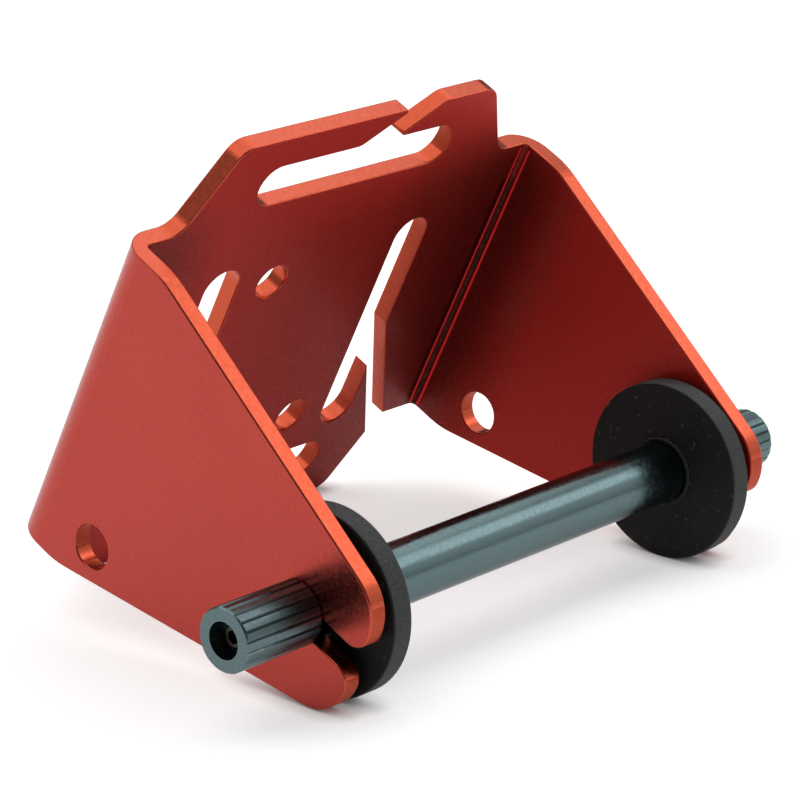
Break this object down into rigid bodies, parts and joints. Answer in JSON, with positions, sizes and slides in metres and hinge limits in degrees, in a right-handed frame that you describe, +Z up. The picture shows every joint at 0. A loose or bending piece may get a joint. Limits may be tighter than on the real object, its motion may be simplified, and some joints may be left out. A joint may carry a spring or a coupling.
{
  "type": "tippet holder",
  "caption": "Bent anodised bracket with belt and strap slots that carries line spools on a shaft between rubber discs, clamped by fluted thumb knobs.",
  "frame": {"origin": "middle of the overall box, on the surface that the holder stands on", "axes": "+X along the spool shaft, to the right seen from the open side; +Y from the shaft back towards the plate; +Z up, as it stands on the plate's lower edge and the two discs"},
  "size_m": [0.1196, 0.0796, 0.0744],
  "materials": {
    "red_anodised": "bead-blasted, orange-red anodised",
    "slate_anodised": "satin slate-grey anodised",
    "black_steel": "blackened steel",
    "black_rubber": "matt rubber"
  },
  "bodies": {
    "bracket": {"bracket": "red_anodised"},
    "spool_shaft": {"spool_shaft": "slate_anodised"},
    "left_stud": {"left_stud": "black_steel"},
    "left_knob": {"left_knob": "slate_anodised"},
    "left_disc": {"left_disc": "black_rubber"},
    "right_stud": {"right_stud": "black_steel"},
    "right_knob": {"right_knob": "slate_anodised"},
    "right_disc": {"right_disc": "black_rubber"}
  },
  "joints": [
    {"name": "shaft_slide", "type": "slide", "parent": "bracket", "child": "spool_shaft", "axis": [0, -0.8934, -0.4492], "range_m": [0, 0.016]},
    {"name": "left_disc_slide", "type": "slide", "parent": "spool_shaft", "child": "left_disc", "axis": [1, 0, 0], "range_m": [0, 0.036]},
    {"name": "left_stud_travel", "type": "slide", "parent": "spool_shaft", "child": "left_stud", "axis": [-1, 0, 0], "range_m": [0, 0.0021]},
    {"name": "left_knob_turn", "type": "hinge", "parent": "left_stud", "child": "left_knob", "pos_m": [-0.052, -0.02567, 0.01418], "axis": [-1, 0, 0], "range_deg": [0, 1080.1]},
    {"name": "right_disc_slide", "type": "slide", "parent": "spool_shaft", "child": "right_disc", "axis": [-1, 0, 0], "range_m": [0, 0.036]},
    {"name": "right_stud_travel", "type": "slide", "parent": "spool_shaft", "child": "right_stud", "axis": [1, 0, 0], "range_m": [0, 0.0021]},
    {"name": "right_knob_turn", "type": "hinge", "parent": "right_stud", "child": "right_knob", "pos_m": [0.052, -0.02567, 0.01418], "axis": [1, 0, 0], "range_deg": [0, 1080.1]}
  ],
  "couplings": [
    {"joint": "left_knob_turn", "follows": "left_stud_travel", "rad_per_m": 8976},
    {"joint": "right_knob_turn", "follows": "right_stud_travel", "rad_per_m": 8976}
  ]
}
